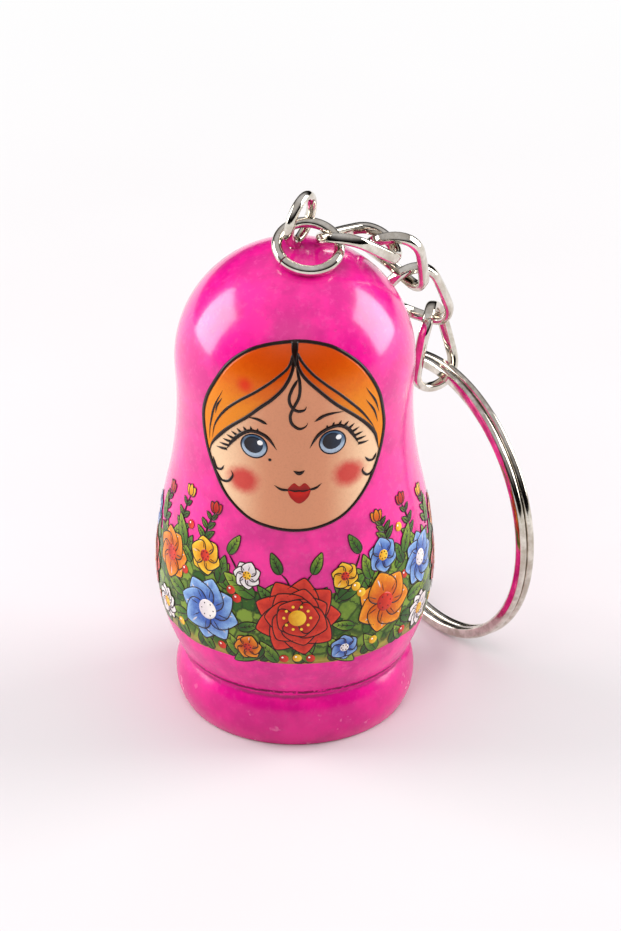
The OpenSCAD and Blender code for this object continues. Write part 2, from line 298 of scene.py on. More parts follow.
def curveThrough(points, closed=False, fine=10):  # a smooth line through given points
    p = np.array(points, float)
    n = len(p)
    if n < 3:
        return np.array([p[0] + (p[-1] - p[0]) * t for t in np.linspace(0, 1, fine)])
    out = []
    for i in range(n if closed else n - 1):
        if closed:
            a, b, c, d = (p[(i + k) % n] for k in (-1, 0, 1, 2))
        else:
            b, c = p[i], p[i + 1]
            a = p[i - 1] if i else 2 * b - c
            d = p[i + 2] if i + 2 < n else 2 * c - b
        for t in np.linspace(0, 1, fine, endpoint=False):
            out.append(0.5 * (2 * b + (c - a) * t + (2 * a - 5 * b + 4 * c - d) * t * t
                              + (3 * b - a - 3 * c + d) * t ** 3))
    out.append(p[0] if closed else p[-1])
    return np.array(out)


def lengthOf(line):
    return float(np.linalg.norm(np.diff(line, axis=0), axis=1).sum())


def evenly(line, count):  # the same line with its points evenly spaced
    run = np.concatenate([[0], np.cumsum(np.linalg.norm(np.diff(line, axis=0), axis=1))])
    at = np.linspace(0, run[-1], count)
    return np.stack([np.interp(at, run, line[:, k]) for k in (0, 1)], 1)


def acrossStroke(s, t):  # tones for a patch: s runs along it and t across it, from 0 to 1
    return t


def backAcross(s, t):
    return 1 - t


def alongStroke(s, t):
    return s


def fullTone(s, t):
    return 1


class Print:
    def __init__(self, place, thick=printing["thick"]):
        self.place = place
        self.thick = thick
        self.verts, self.faces, self.tones = [], [], []

    def patch(self, grid, skin, tones=None):
        rows, cols = len(grid), len(grid[0])
        first = len(self.verts)
        under = rows * cols
        for depth in (0, self.thick):
            for i, row in enumerate(grid):
                for j, p in enumerate(row):
                    self.verts.append(self.place(p, skin - depth))
                    self.tones.append(tones(i / (rows - 1), j / (cols - 1)) if tones else 0)
        at = first + np.arange(under).reshape(rows, cols)
        for i in range(rows - 1):
            for j in range(cols - 1):
                quad = (at[i, j], at[i, j + 1], at[i + 1, j + 1], at[i + 1, j])
                self.faces.append(quad)
                self.faces.append(tuple(under + v for v in reversed(quad)))
        rim = [*at[0], *at[1:, -1], *at[-1, -2::-1], *at[-2:0:-1, 0]]
        for a, b in zip(rim, rim[1:] + rim[:1]):
            self.faces.append((b, a, a + under, b + under))

    def between(self, first, second, skin, count=40, across=printing["across"], tones=None):
        a, b = evenly(curveThrough(first), count), evenly(curveThrough(second), count)
        grid = [[p + (q - p) * k / (across - 1) for k in range(across)] for p, q in zip(a, b)]
        self.patch(grid, skin, tones)

    def stroke(self, points, width, skin, taper=(0, 0), closed=False, step=printing["step"]):
        line = curveThrough(points, closed)
        if closed:  # the ends overlap a little, so the ring has no seam
            line = np.concatenate([line, line[1:printing["overlap"] + 1]])
        count = max(printing["fewest"], int(lengthOf(line) / step))
        line = evenly(line, count)
        ahead = np.gradient(line, axis=0)
        ahead /= np.linalg.norm(ahead, axis=1)[:, None] + 1e-9
        side = np.stack([-ahead[:, 1], ahead[:, 0]], 1)
        grid = []
        for i, (p, s) in enumerate(zip(line, side)):
            share = i / (count - 1)
            full = [far / end for far, end in zip((share, 1 - share), taper) if end]
            ends = max(min([1, *full]), printing["bluntEnd"])
            half = width / 2 * (1 if closed else sin(ends * pi / 2))
            grid.append([p - s * half, p + s * half])
        self.patch(grid, skin)

    def oval(self, centre, rx, rz, skin, count=28, tones=None):
        grid = []
        for i in range(count + 1):
            t = -cos(pi * i / count)
            half = sqrt(max(0, 1 - t * t))
            heights = np.linspace(-1, 1, printing["across"])
            grid.append([(centre[0] + rx * t, centre[1] + rz * half * k) for k in heights])
        self.patch(grid, skin, tones)

    def dot(self, centre, radius, skin, count, tones=None):
        self.oval(centre, radius, radius, skin, count, tones)

    def mesh(self, name):
        made = newMesh(name, self.verts, self.faces)
        tone = made.attributes.new("tone", "FLOAT", "POINT")
        tone.data.foreach_set("value", self.tones)
        faceOutward(made, printing["weld"])
        return made


# lacquer: a noise is scale per millimetre, detail, roughness; an edge is a mask's start and end

lacquer = dict(
    pink="fb1a98", deep="d90a86", pale="ff58b0", scuff="ffa9cf", shade="c2056c", crease="4a022c",
    cloud=(0.32, 4, 0.6), cloudEdge=(0.36, 0.66), fine=(1.6, 5, 0.7), fineEdge=(0.5, 0.75), paleShare=0.4,
    blotch=(0.8, 5, 0.75), blotchEdge=(0.52, 0.72), blotchShare=0.35, shadeZ=(3.4, 5.4), shadeShare=0.45,
    ragged=0.5, grooveHalf=(0.05, 0.3), grooveGaps=(0.3, 0.55), grooveShare=0.55,
    worn=(1.1, 3, 0.7), lineZ=5.85, lineHalf=(0.08, 0.28), lineGaps=(0.36, 0.46), lineShare=0.9,
    chip=(0.75, 2, 0.5), chipEdge=(0.66, 0.74), chipZ=(2.4, 4.6), chipShare=0.5,
    pit=(3.2, 2, 0.5), pitEdge=(0.69, 0.73), pitDeep=0.5, pitShare=0.7,
    fineHigh=0.35, cloudHigh=0.8, blotchHigh=0.6, lineDeep=1.5, bump=0.32, depth=0.00007,
    rough=0.16, fineRough=0.14, chipRough=0.25,
    footCoat=0.08, moreCoat=0.55, coatZ=(5, 26), coatRough=0.12, ior=1.4)


def pinkLacquer():
    f, k = Finish("pink_lacquer"), lacquer
    spot = f.place()
    z = f.axes(spot)[2]
    cloud, fine, blotch, worn = (f.noise(spot, *k[name]) for name in ("cloud", "fine", "blotch", "worn"))
    tone = f.mix(cloud.step(*k["cloudEdge"]), rgb(k["deep"]), rgb(k["pink"]))
    tone = f.mix(fine.step(*k["fineEdge"]) * k["paleShare"], tone, rgb(k["pale"]))
    tone = f.mix(blotch.step(*k["blotchEdge"]) * k["blotchShare"], tone, rgb(k["deep"]))
    # painted shade: the lacquer turns darker towards the bottom of the foot, near the floor
    tone = f.mix((1 - z.step(*k["shadeZ"])) * k["shadeShare"], tone, rgb(k["shade"]))
    fromCrease = (fine.sway(k["ragged"]) + z - doll["footH"]).calc("ABSOLUTE")
    groove = (1 - fromCrease.step(*k["grooveHalf"])) * cloud.step(*k["grooveGaps"])
    tone = f.mix(groove * k["grooveShare"], tone, rgb(k["crease"]))
    fromLine = (z + worn.sway(k["ragged"]) - k["lineZ"]).calc("ABSOLUTE")
    dashes = (1 - fromLine.step(*k["lineHalf"])) * worn.step(*k["lineGaps"])  # worn line over the foot
    tone = f.mix(dashes * k["lineShare"], tone, rgb(k["crease"]))
    chips = f.noise(spot, *k["chip"]).step(*k["chipEdge"]) * (1 - z.step(*k["chipZ"]))
    tone = f.mix(chips * k["chipShare"], tone, rgb(k["scuff"]))
    pits = f.noise(spot, *k["pit"]).step(*k["pitEdge"]) * k["pitDeep"]
    tone = f.mix(pits * k["pitShare"], tone, rgb(k["shade"]))
    height = fine * k["fineHigh"] + cloud * k["cloudHigh"] + blotch * k["blotchHigh"] - pits
    f.set(Base_Color=tone, Roughness=k["rough"] + fine * k["fineRough"] + chips * k["chipRough"],
          Normal=f.bump(height - dashes * k["lineDeep"], k["bump"], k["depth"]))
    coat = k["footCoat"] + z.step(*k["coatZ"]) * k["moreCoat"]  # worn thin towards the foot
    return f.set(Coat_Weight=coat, Coat_Roughness=k["coatRough"], IOR=k["ior"])


# inks: all prints lie under the same thin gloss

printGloss = dict(rough=0.2, bump=0.05, depth=0.00003, coat=0.04, coatRough=0.1, ior=1.34)


def underGloss(f, tone, speck, spread):
    k = printGloss
    f.set(Base_Color=tone, Roughness=k["rough"] + speck * spread,
          Normal=f.bump(speck, k["bump"], k["depth"]))
    return f.set(Coat_Weight=k["coat"], Coat_Roughness=k["coatRough"], IOR=k["ior"])


def toneOf(f):  # the tone that each patch stores in its mesh
    return f.node("ShaderNodeAttribute", {"attribute_name": "tone"}, out="Fac")


flatInk = dict(
    speck=(2.6, 4, 0.7), stir=0.5, toneEdge=(0.05, 0.95), grainEdge=(0.55, 0.8), spread=0.08)


def inkFinish(name, low, high, grain=0.25):  # low to high follows the brush stroke
    f, k = Finish(name), flatInk
    speck = f.noise(f.place(), *k["speck"])
    tone = f.mix((toneOf(f) + speck.sway(k["stir"])).step(*k["toneEdge"]), rgb(low), rgb(high))
    tone = f.mix(speck.step(*k["grainEdge"]) * grain, tone, rgb(high))
    return underGloss(f, tone, speck, k["spread"])


leafBed = dict(
    speck=(2.2, 4, 0.7), bend=(0.5, 0.5, 0.9), leafScale=0.75, stir=0.6, toneEdge=(0.1, 0.9),
    gap="1f3312", gapEdge=(0.03, 0.12), gapShare=0.75, sun="b9b44a", sunEdge=(0.6, 0.75),
    sunShare=0.4, hem="b59a3c", hemStir=0.2, hemEdge=(0.02, 0.16), hemShare=0.85, spread=0.08)


def foliageFinish(name, low, high):  # painted leaves packed side by side
    f, k = Finish(name), leafBed
    spot = f.place()
    speck = f.noise(spot, *k["speck"])
    bent = f.node("ShaderNodeVectorMath", {"operation": "MULTIPLY_ADD"}, {0: speck, 1: k["bend"], 2: spot})
    cells = {"Vector": bent, "Scale": k["leafScale"]}
    toGap = f.node("ShaderNodeTexVoronoi", {"feature": "DISTANCE_TO_EDGE"}, cells)
    tint = f.axes(f.node("ShaderNodeTexVoronoi", {}, cells, out="Color"))[0]
    tone = f.mix((tint + speck.sway(k["stir"])).step(*k["toneEdge"]), rgb(low), rgb(high))
    tone = f.mix((1 - toGap.step(*k["gapEdge"])) * k["gapShare"], tone, rgb(k["gap"]))
    tone = f.mix(speck.step(*k["sunEdge"]) * k["sunShare"], tone, rgb(k["sun"]))
    hem = 1 - (toneOf(f) + speck.sway(k["hemStir"])).step(*k["hemEdge"])
    tone = f.mix(hem * k["hemShare"], tone, rgb(k["hem"]))
    return underGloss(f, tone, speck, k["spread"])


faceGrain = dict(speck=(5.5, 3, 0.8), edge=(0.45, 0.75), share=0.3, dark="5a1c08", darkShare=0.35)


def grained(f, spot, tone):  # fine printing grain over the face
    k = faceGrain
    dark = f.mix(k["darkShare"], tone, rgb(k["dark"]))
    return f.mix(f.noise(spot, *k["speck"]).step(*k["edge"]) * k["share"], tone, dark)


def distance(x, z, centre, narrow=1):
    return ((x - centre[0]) ** 2 * narrow + (z - centre[1]) ** 2) ** 0.5


skinTone = dict(
    mid="dd9570", edge="f8cfa6", sideLightX=(2.2, 6.6), speck=(2.4, 4, 0.7), stir=0.8,
    spread=0.1, blush="cf262c", blushAt=((-4.5, 27.3), (4.65, 27.9)),
    blushR=(0.6, 1.695), blushNarrow=0.85, blushStir=0.45, blushShare=0.9)


def skinFinish():
    f, k = Finish("face_skin"), skinTone
    spot = f.place()
    x, _, z = f.axes(spot)
    speck = f.noise(spot, *k["speck"])
    # painted light: the skin turns paler towards the face's sides, where the side lamps light it, and stays darker
    # down the middle
    side = (x.calc("ABSOLUTE") + speck.sway(k["stir"])).step(*k["sideLightX"])
    tone = f.mix(side, rgb(k["mid"]), rgb(k["edge"]))
    for centre in k["blushAt"]:
        away = distance(x, z, centre, k["blushNarrow"]) + speck.sway(k["blushStir"])
        tone = f.mix((1 - away.step(*k["blushR"])) * k["blushShare"], tone, rgb(k["blush"]))
    return underGloss(f, grained(f, spot, tone), speck, k["spread"])


hairTone = dict(
    root="d04a06", mid="de6608", tip="ee8a12", speck=(2.2, 4, 0.7), stir=2.2, spread=0.1,
    rootZ=38.5, sideLag=0.35, down=(-0.5, 7.5), midEdge=(0, 0.55), tipEdge=(0.45, 1),
    glow="dc1a08", glowAt=(-4.3, 36.5), glowR=(0.1, 1.0), glowShare=0.8)


def hairFinish():
    f, k = Finish("face_hair"), hairTone
    spot = f.place()
    x, _, z = f.axes(spot)
    speck = f.noise(spot, *k["speck"])
    fromRoot = k["rootZ"] - z + x.calc("ABSOLUTE") * k["sideLag"] + speck.sway(k["stir"])
    down = fromRoot.step(*k["down"])
    tone = f.mix(down.step(*k["midEdge"]), rgb(k["root"]), rgb(k["mid"]))
    tone = f.mix(down.step(*k["tipEdge"]), tone, rgb(k["tip"]))
    glow = 1 - distance(x, z, k["glowAt"]).step(*k["glowR"])
    tone = f.mix(glow * k["glowShare"], tone, rgb(k["glow"]))
    return underGloss(f, grained(f, spot, tone), speck, k["spread"])


# the face: outlines and features, in millimetres as seen from the front

face = dict(
    rightSide=[(0, 40.3), (1.9, 40.1), (3.7, 39.4), (5.7, 37.7), (7.05, 35.3), (7.55, 32.9), (7.6, 30.8),
        (7.05, 28.2), (6.0, 25.95), (4.3, 24.2), (2.2, 23.35), (0, 23.1)],
    leftSide=[(0, 40.3), (-2.3, 39.95), (-4.2, 39.15), (-5.8, 37.75), (-7.05, 35.6), (-7.65, 33.9),
        (-7.85, 32.1), (-7.6, 29.7), (-7.0, 27.7), (-6.0, 25.6), (-4.2, 24), (-2.3, 23.35), (0, 23.1)],
    hairLine=[[(-0.1, 40.2), (-0.12, 39.1), (-0.25, 38), (-0.9, 36.7), (-1.9, 35.6), (-3, 34.65),
        (-4.15, 33.5), (-5.5, 32.2), (-6.55, 30.85), (-7.15, 29.8), (-7.35, 28.9)],
        [(0.1, 40.2), (0.12, 39.2), (0.35, 38.2), (1, 37.3), (2.15, 36.2), (3.5, 34.9), (4.85, 33.7),
        (6, 32.4), (6.8, 31.1), (7.05, 30.1), (7.2, 29.2)]],
    strand=[[(-0.15, 39.4), (-0.55, 38.35), (-1.65, 37.35), (-3.2, 36.15), (-4.9, 34.85), (-6.05, 33.55),
        (-6.85, 31.9), (-7.1, 30.4)],
        [(0.15, 39.5), (0.6, 38.75), (1.45, 37.8), (2.6, 36.8), (4.05, 35.55), (5.5, 33.9),
        (6.45, 32.3), (6.9, 31.2)]],
    parting=[[(0, 40.3), (-0.02, 39.3), (0.05, 38.3)]],
    wisp=[[(-6.15, 35.5), (-6.85, 33.8), (-7.25, 31.7), (-7.35, 30.2)],
        [(-6.2, 34.8), (-6.65, 33.9), (-6.8, 33)], [(6.05, 35.8), (6.85, 34.3), (7.2, 33)],
        [(6.05, 34.7), (6.75, 33.4), (7.1, 32)]],
    curl=[[(0.1, 38.4), (0.4, 37.1), (0.35, 35.9), (-0.1, 34.9), (-0.4, 34.1), (-0.25, 33.3), (0.35, 32.8),
        (0.9, 33), (1.1, 33.4)],
        [(0.25, 37.4), (-0.3, 36.4), (-0.5, 35.6), (-0.25, 34.9), (0.25, 34.55), (0.8, 34.65), (1, 35)]],
    brow=[[(-2.35, 33.1), (-3.2, 33.5), (-4.1, 33.55)],
        [(1.65, 33.45), (2.45, 33.95), (3.25, 34.1), (4.2, 34.1)]],
    sideCurl=[[(-7.05, 28.6), (-6.8, 27.7), (-6.35, 27.7), (-6.1, 28.15)],
        [(-6.9, 27.6), (-6.4, 26.75), (-5.75, 26.8), (-5.35, 27.45), (-5.5, 27.85)],
        [(7, 29), (6.75, 28.5), (6.35, 28.55), (6, 29)],
        [(6.9, 27.75), (6.5, 27.25), (6.1, 27.3), (5.8, 27.75), (5.9, 28.05)]],
    smile=[[(-0.5, 26.8), (-1.2, 26.85), (-1.8, 27.2)], [(1.2, 26.8), (1.8, 26.95), (2.3, 27.35)]],
    mouth=[[(-0.7, 26.85), (0.0, 26.7), (0.36, 26.75), (0.75, 26.7), (1.4, 26.85)]],
    nose=[[(-0.15, 28.65), (0.35, 28.4), (0.85, 28.65)]],
    upperLip=[(-0.7, 26.85), (-0.1, 27.45), (0.36, 27.15), (0.86, 27.45), (1.4, 26.85)],
    lowerLip=[(-0.7, 26.85), (-0.35, 26.05), (0.36, 25.55), (1.08, 26.05), (1.4, 26.85)],
    beautySpot=(-2.15, 29.6), spotR=0.14, outlinePen=0.25, partingHalf=0.05)
pens = dict(  # width, the share that tapers at each end, and the height it is printed at
    hairLine=(0.3, (0.02, 0.2), "ink"), strand=(0.24, (0.02, 0.4), "ink"), parting=(0.6, (0, 0.9), "glint"),
    wisp=(0.16, (0.5, 0.6), "ink"), curl=(0.27, (0.12, 0.2), "ink"), brow=(0.3, (0.25, 0.8), "ink"),
    sideCurl=(0.22, (0.3, 0.35), "ink"), smile=(0.22, (0.2, 0.6), "ink"), mouth=(0.13, (0.3, 0.3), "glint"),
    nose=(0.36, (0.5, 0.5), "ink"))
# heights over the wood
skins = dict(film=0.11, colour=0.122, iris=0.128, shade=0.134, lip=0.138, ink=0.146, glint=0.158)
faceSteps = dict(film=(64, 41), hair=(60, 13), lips=28, smallDot=12)


def faceFilm():
    film = Print(onFace, printing["filmThick"])
    film.between(face["leftSide"], face["rightSide"], skins["film"], *faceSteps["film"])
    return film


def faceHair():
    hair = Print(onFace)
    for side, line in zip(("leftSide", "rightSide"), face["hairLine"]):
        low = line[-1][1]
        outer = [p for p in curveThrough(face[side]) if p[1] > low and abs(p[0]) > face["partingHalf"]]
        hair.between(outer, line, skins["colour"], *faceSteps["hair"])
    return hair


eyes = dict(
    places=[  # out is the way to the outer corner
        dict(at=(-3.5, 30.75), out=-1, lid=[(-1.55, 30.6), (-2.2, 31.6), (-2.9, 32.1), (-3.8, 32.2),
             (-4.6, 31.7), (-5.3, 30.85), (-5.9, 29.8)]),
        dict(at=(3.2, 31.2), out=1, lid=[(1.25, 30.8), (1.7, 31.65), (2.25, 32.3), (3.05, 32.7),
             (3.8, 32.75), (4.5, 32.3), (5.05, 31.4), (5.45, 30.5)])],
    rim=1.18, iris=1.05, pupil=0.81, glint=0.24, tall=1.02, pupilOff=(-0.04, 0.13), glintOff=(0.52, 0.42),
    lidPen=0.34, lidTaper=(0.3, 0.3), lidSteps=40, lashes=9, lashFrom=15, lashTo=39, lashLong=0.68,
    lashShort=0.55, lashPen=0.24, lashTaper=(0, 0.7), lashRoot=0.05, lashBend=(0.35, 0.3),
    lashTurn=(0.3, 0.08), lashSag=0.06)


def drawLashes(ink, place):
    k = eyes
    line = evenly(curveThrough(place["lid"]), k["lidSteps"])
    bend = np.array((place["out"] * k["lashBend"][0], k["lashBend"][1]))
    for n in range(k["lashes"]):
        share = n / (k["lashes"] - 1)
        root = line[k["lashFrom"] + int((k["lashTo"] - k["lashFrom"]) * share)]
        away = root - place["at"]
        away /= np.linalg.norm(away)
        long = k["lashLong"] * (k["lashShort"] + (1 - k["lashShort"]) * share)  # longer to the outside
        tip = root + (away + bend * (k["lashTurn"][0] + k["lashTurn"][1] * n)) * long
        points = [root - away * k["lashRoot"], (root + tip) / 2 - bend * k["lashSag"], tip]
        ink.stroke(points, k["lashPen"], skins["ink"], k["lashTaper"])


def faceInk():
    ink = Print(onFace)
    ink.stroke(face["leftSide"] + face["rightSide"][-2:0:-1], face["outlinePen"], skins["ink"], closed=True)
    for kind, (width, taper, height) in pens.items():
        for line in face[kind]:
            ink.stroke(line, width, skins[height], taper)
    ink.dot(face["beautySpot"], face["spotR"], skins["ink"], faceSteps["smallDot"])
    for place in eyes["places"]:
        ink.stroke(place["lid"], eyes["lidPen"], skins["ink"], eyes["lidTaper"])
        drawLashes(ink, place)
    return ink


def faceEyes():
    k = eyes
    rim, iris, pupil, glint = (Print(onFace) for _ in range(4))
    for place in k["places"]:
        at = np.array(place["at"])
        rim.oval(at, k["rim"], k["rim"] * k["tall"], skins["colour"])
        iris.oval(at, k["iris"], k["iris"] * k["tall"], skins["iris"], tones=backAcross)
        pupil.oval(at + k["pupilOff"], k["pupil"], k["pupil"], skins["shade"], tones=alongStroke)
        glint.dot(at + k["glintOff"], k["glint"], skins["glint"], faceSteps["smallDot"])
    return dict(eyeRim=rim, iris=iris, pupil=pupil, glint=glint)


def faceLips():
    lips, upperLip = Print(onFace), Print(onFace)
    mouth, count = face["mouth"][0], faceSteps["lips"]
    lips.between(mouth, face["lowerLip"], skins["shade"], count, tones=acrossStroke)
    upperLip.between(face["upperLip"], mouth, skins["lip"], count, tones=backAcross)
    return dict(lips=lips, upperLip=upperLip)


# the garland: flowers, leaves and berries; places are millimetres round the belly, and height

inks = dict(
    red=("a81410", "e2402a"), orange=("c94f0a", "f5a022"), gold=("d98c08", "ffd23e"),
    blue=("2c50a8", "9cc4ee"), white=("d9cdd2", "fdf6ee"), green=("3c6a1e", "9fb53c"),
    deepGreen=("2b521c", "64902e"), foliage=("2f5a1a", "7f9a34"))
garland = dict(
    roses=[  # place, size, petals, heart
        ((0.2, 14.9), 3.9, "red", "gold"), ((-19.6, 14.6), 3.2, "red", "gold"),
        ((19.8, 14.2), 3.2, "red", "gold")],
    blooms=[  # place, size, petals, heart, how many petals
        ((-8.3, 14.2), 3.2, "blue", "white", 8), ((8.6, 14.9), 3.0, "orange", "red", 7),
        ((-13.6, 17.6), 2.5, "orange", "red", 7), ((13.9, 17.0), 2.6, "blue", "white", 8),
        ((-14.4, 12.2), 1.7, "white", "gold", 9), ((13.6, 11.9), 1.8, "white", "gold", 9),
        ((-8.9, 19.3), 1.8, "gold", "red", 6), ((8.7, 19.4), 1.7, "blue", "gold", 6),
        ((-4.4, 18.6), 1.35, "white", "gold", 7), ((4.6, 18.5), 1.35, "gold", "red", 6),
        ((-4.3, 11.4), 1.35, "orange", "red", 6), ((4.5, 11.3), 1.4, "blue", "white", 6),
        ((-19.3, 19.2), 1.7, "blue", "white", 7), ((19.4, 19), 1.7, "orange", "red", 7)],
    leaves=[  # place, lean in degrees, length
        ((-2.8, 11.6), 215, 3.6), ((3.0, 11.7), -40, 3.4), ((-3.6, 16.6), 150, 3.6),
        ((3.9, 16.4), 35, 3.4), ((-11.2, 14.6), 165, 3.2), ((-10.8, 12.6), 200, 3.2),
        ((-7.2, 17.2), 80, 2.8), ((-11.6, 19.2), 120, 3.0), ((11.5, 14.0), 5, 3.0),
        ((10.6, 12.6), -25, 3.0), ((7.2, 17.6), 105, 2.6), ((11.3, 18.6), 60, 2.8),
        ((-5.2, 13.2), 20, 2.2), ((5.4, 13.4), 165, 2.2), ((-16.2, 15.2), 170, 3.0),
        ((16.2, 14.8), 10, 3.0), ((-16.4, 19.6), 100, 2.6), ((16.6, 19.2), 80, 2.6),
        ((-1.3, 19.0), 115, 2.2), ((1.6, 19.0), 65, 2.2), ((-6.4, 20.2), 60, 2.2),
        ((6.3, 20.3), 120, 2.2), ((-22.6, 16.8), 160, 2.8), ((22.6, 16.6), 20, 2.8)],
    stems=[[(-0.4, 17.8), (-0.8, 18.6), (-1.3, 19.1)], [(0.8, 17.8), (1.2, 18.6), (1.6, 19.1)],
        [(-5.2, 18.6), (-5.8, 19.5), (-6.4, 20.3)], [(5.4, 18.6), (5.9, 19.5), (6.3, 20.4)]],
    sprays=[  # stalk, bud
        ([(-9.3, 20.4), (-9.0, 22), (-8.3, 23.6)], "red"),
        ([(-12.4, 19.8), (-12.6, 21.8), (-12.0, 24.0)], "gold"),
        ([(-16.0, 19.4), (-16.2, 21.2), (-15.7, 22.8)], "red"),
        ([(9.3, 20.4), (9.2, 21.6), (8.5, 22.8)], "orange"),
        ([(12.4, 19.4), (12.7, 21.4), (12.1, 23.2)], "red"),
        ([(16.2, 19.2), (16.4, 20.8), (15.9, 22.4)], "gold")],
    ground=[(-22.6, 13.6), (-19.5, 17.4), (-16.5, 18.4), (-13.5, 19.4), (-10.5, 19.0), (-7.5, 18.2),
        (-4.5, 17.4), (0, 16.8), (4.5, 17.2), (7.5, 18.0), (10.5, 18.6), (13.5, 18.8), (16.5, 18.0),
        (19.5, 17.0), (22.6, 13.6)],
    berries=[((-5.9, 16.9), "red"), ((-5.3, 16.2), "red"), ((6.1, 16.6), "gold"), ((5.6, 17.3), "gold"),
        ((-11.3, 17.0), "red"), ((11.2, 16.6), "red"), ((-11.9, 11.4), "gold"), ((11.0, 10.9), "red"),
        ((0.2, 10.6), "gold"), ((-1.0, 10.5), "red"), ((1.4, 10.5), "red"), ((-16.9, 11.6), "red"),
        ((16.8, 11.4), "gold"), ((-11.2, 21.4), "red"), ((11.1, 21.2), "gold"), ((-6.9, 10.9), "red"),
        ((7.4, 11.3), "gold")])
levels = dict(
    ground=0.03, hem=0.036, edge=0.05, bud=0.062, leaf=0.064, bloom=0.072, rose=0.085,
    berry=0.08, petal=0.003, line=0.0015, gleam=0.001, pair=0.001, dot=0.002, stalk=0.002, shine=0.004)
linePens = dict(  # width, the share that tapers at each end, and the step along the line
    rim=(0.11, (0.1, 0.1), 0.18), vein=(0.09, (0.2, 0.8), 0.3), midrib=(0.1, (0, 0.9), 0.3),
    sideVein=(0.07, (0, 0.8), 0.3), stem=(0.16, (0, 0.4), 0.2), stalk=(0.2, (0, 0.3), 0.2))
petalForm = dict(rows=15, tipAt=0.72, fullness=0.75, paleMiddle=0.55)
bloomForm = dict(
    turn=0.3, wide=2.5, gleamTurn=0.16, gleamAt=(0.55, 0.7, 0.84), gleamPen=0.05,
    gleamTaper=(0.5, 0.4), gleamStep=0.2, veins=(0.35, 0.7), heart=0.3, heartSteps=14,
    dots=6, dotsAt=0.2, dotR=0.07, dotSteps=6)
roseForm = dict(
    rings=((9, 1.0, 1.15), (7, 0.74, 1.2), (5, 0.5, 1.25)),  # petals, reach, overlap
    wide=2.2, heart=0.2, heartSteps=14, dots=10, dotsAt=0.3, dotR=0.13, dotSteps=8)
leafForm = dict(wide=0.46, midrib=0.85, veinsAt=(0.3, 0.5, 0.68), veinAhead=0.14, veinOut=0.13)
sprayForm = dict(
    points=8, pairsAt=(1, 3, 5), lean=52, leafLong=1.5, shorter=0.12,
    budTurns=(125, 55, 90), budLong=1.15, budWide=0.75, budDown=0.2)
hemForm = dict(
    z=9.95, leaf=2.3, longer=0.2, step=1.55, reach=22.2, lean=34, drop=0.1, wave=0.12, waves=1.3)
edgeForm = dict(count=46, lean=38, fan=1.6, down=0.9, leaf=2.3, steps=(160, 21))
berryForm = dict(r=0.42, steps=12, shineAt=(-0.12, 0.14), shineR=0.1, shineSteps=6)


def heading(turn):
    return np.array((cos(turn), sin(turn)))


def leftOf(ahead):
    return np.array((-ahead[1], ahead[0]))


def roundSpots(at, radius, count):
    return [radius * heading(2 * pi * k / count) + at for k in range(count)]


def petalTone(s, t):  # darker at the base and down the middle
    return s * (petalForm["paleMiddle"] + (1 - petalForm["paleMiddle"]) * abs(2 * t - 1))


def leafInk(light):
    return "green" if light else "deepGreen"


def layer(name, n, count):  # neighbours lie at different heights
    return levels[name] + levels["petal"] * (n % count)


